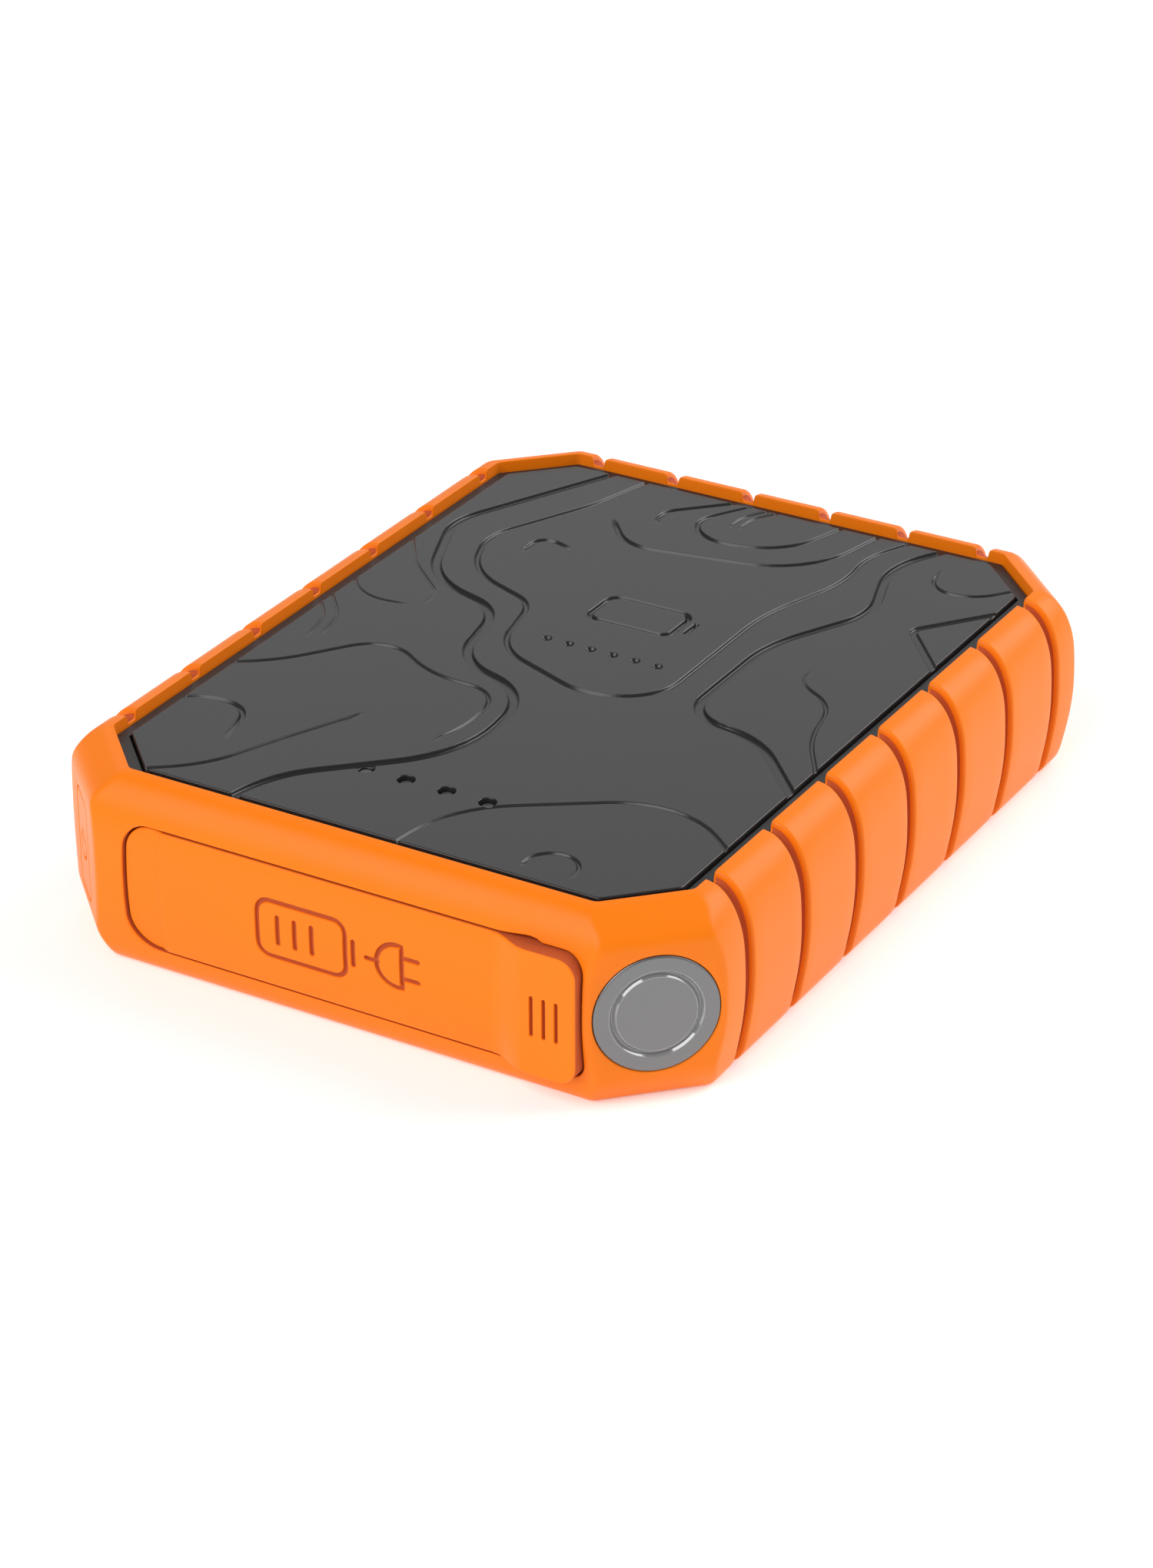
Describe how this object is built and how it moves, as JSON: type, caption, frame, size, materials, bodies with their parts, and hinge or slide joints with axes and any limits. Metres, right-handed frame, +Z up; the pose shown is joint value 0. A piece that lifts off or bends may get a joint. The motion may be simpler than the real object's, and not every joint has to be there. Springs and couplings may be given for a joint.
{
  "type": "rugged power bank",
  "caption": "Rugged portable battery: eight-sided housing in a ribbed rubber sleeve, with a hinged port cover, corner torch, sprung power key and charge lights.",
  "frame": {"origin": "centre of the rubber sleeve's plan, on the surface it rests on", "axes": "+X across the width, +Y along the length towards the back (the port cover faces -Y), +Z up out of the top panel"},
  "size_m": [0.1, 0.1292, 0.027],
  "materials": {
    "sleeve_rubber": "satin moulded, fine spark-eroded grain",
    "cover_rubber": "satin moulded, fine spark-eroded grain",
    "key_rubber": "satin moulded",
    "seal_rubber": "matt",
    "housing_plastic": "fine grain",
    "panel_plastic": "fine grain, satin",
    "torch_ring": "satin grey",
    "torch_window": "clear, polished",
    "reflector_chrome": "mirror coated",
    "emitter": "phosphor under silicone",
    "lamp_board": "white masked",
    "circuit_board": "green solder mask",
    "safety_board": "blue solder mask",
    "port_steel": "nickel plated",
    "port_plastic": "moulded",
    "dark_plastic": "moulded",
    "switch_steel": "stamped",
    "ferrite": "pressed powder",
    "capacitor_can": "bright",
    "clear_plastic": "clear polished",
    "light_chip": "white",
    "cell_pouch": "laminated foil",
    "cell_foam": "open foam",
    "tab_nickel": "nickel strip",
    "wire_red": "insulation",
    "wire_black": "insulation",
    "screw_steel": "zinc plated"
  },
  "bodies": {
    "housing": {"rubber_bumper": "sleeve_rubber", "cover_hinge_strip": "cover_rubber", "lower_housing": "housing_plastic", "upper_housing": "housing_plastic", "housing_seal": "seal_rubber", "top_panel": "panel_plastic", "bottom_panel": "panel_plastic", "torch_bezel": "torch_ring", "torch_lens": "torch_window", "torch_reflector": "reflector_chrome", "torch_led": "emitter", "torch_board": "lamp_board", "torch_seal": "seal_rubber", "switch_body": "switch_steel", "button_board": "circuit_board", "main_board": "circuit_board", "usb_a_shell_1": "port_steel", "usb_a_shell_2": "port_steel", "usb_a_tongue_1": "port_plastic", "usb_a_tongue_2": "port_plastic", "usb_c_shell": "port_steel", "usb_c_tongue": "dark_plastic", "power_inductor": "ferrite", "capacitor_1": "capacitor_can", "capacitor_2": "capacitor_can", "charge_controller": "dark_plastic", "light_guide": "clear_plastic", "charge_led_1": "light_chip", "charge_led_2": "light_chip", "charge_led_3": "light_chip", "charge_led_4": "light_chip", "lower_cell": "cell_pouch", "upper_cell": "cell_pouch", "lower_foam_pad": "cell_foam", "upper_foam_pad": "cell_foam", "cell_tape": "cell_foam", "lower_cell_positive_tab": "tab_nickel", "lower_cell_negative_tab": "tab_nickel", "upper_cell_positive_tab": "tab_nickel", "upper_cell_negative_tab": "tab_nickel", "protection_board": "safety_board", "positive_lead": "wire_red", "negative_lead": "wire_black", "case_screw_1": "screw_steel", "case_screw_2": "screw_steel", "case_screw_3": "screw_steel", "case_screw_4": "screw_steel", "board_screw_1": "screw_steel", "board_screw_2": "screw_steel"},
    "port_cover": {"port_cover": "cover_rubber"},
    "power_key": {"power_button": "key_rubber", "switch_plunger": "dark_plastic"}
  },
  "joints": [
    {"name": "cover_hinge", "type": "hinge", "parent": "housing", "child": "port_cover", "pos_m": [-0.02975, -0.0634, 0.0131], "axis": [0, 0, -1], "range_deg": [0, 110], "stiffness_Nm_per_rad": 0.004},
    {"name": "key_press", "type": "slide", "parent": "housing", "child": "power_key", "axis": [0.7071, 0.7071, 0], "range_m": [0, 0.0006], "stiffness_N_per_m": 1500, "springref_m": -0.0002}
  ]
}
